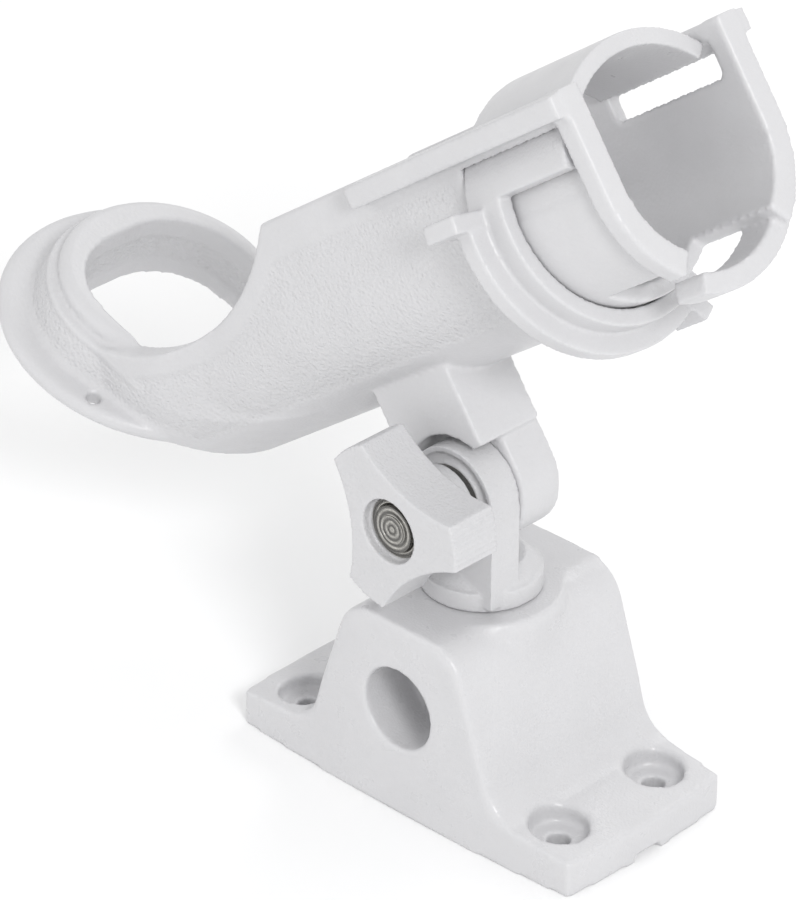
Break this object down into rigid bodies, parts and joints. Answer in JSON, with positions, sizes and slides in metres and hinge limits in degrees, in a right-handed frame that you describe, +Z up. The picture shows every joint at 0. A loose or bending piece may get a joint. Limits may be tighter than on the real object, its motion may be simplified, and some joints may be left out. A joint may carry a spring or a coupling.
{
  "type": "fishing rod holder",
  "caption": "White nylon fishing rod holder: open rod cradle with butt ring and turning lock collar, on a tilting, swivelling post in a screw-down base with a side socket.",
  "frame": {"origin": "centre of the base's underside, between the four screw holes", "axes": "+Z up out of the mounting surface, +X along the base towards the cradle's front end, Y across"},
  "size_m": [0.2578, 0.092, 0.231],
  "materials": {
    "base_nylon": "satin moulded",
    "post_nylon": "satin moulded",
    "cradle_nylon": "fine pebble texture",
    "collar_nylon": "fine pebble texture",
    "knob_nylon": "satin moulded",
    "stainless": "turned stainless"
  },
  "bodies": {
    "base": {"base_mount": "base_nylon"},
    "post": {"swivel_post": "post_nylon", "stem_washer": "stainless", "stem_screw": "stainless"},
    "cradle": {"rod_cradle": "cradle_nylon", "pivot_bolt": "stainless", "bolt_head_washer": "stainless"},
    "collar": {"locking_collar": "collar_nylon"},
    "washer": {"knob_washer": "stainless"},
    "knob": {"clamp_knob": "knob_nylon", "knob_insert": "stainless"}
  },
  "joints": [
    {"name": "post_swivel", "type": "hinge", "parent": "base", "child": "post", "pos_m": [0, 0, 0.059], "axis": [0, 0, 1], "continuous": true},
    {"name": "cradle_tilt", "type": "hinge", "parent": "post", "child": "cradle", "pos_m": [0, 0, 0.09], "axis": [0, -1, 0], "range_deg": [-50, 25]},
    {"name": "collar_turn", "type": "hinge", "parent": "cradle", "child": "collar", "pos_m": [0.02732, 0.008, 0.18187], "axis": [0.81, 0, 0.5864], "range_deg": [0, 82]},
    {"name": "washer_slide", "type": "slide", "parent": "cradle", "child": "washer", "axis": [0, -1, 0], "range_m": [0, 0.00376]},
    {"name": "knob_turn", "type": "hinge", "parent": "washer", "child": "knob", "pos_m": [0, -0.02, 0.09], "axis": [0, -1, 0], "range_deg": [0, 1080]}
  ],
  "couplings": [
    {"joint": "washer_slide", "follows": "knob_turn", "m_per_rad": 0.00019894}
  ]
}
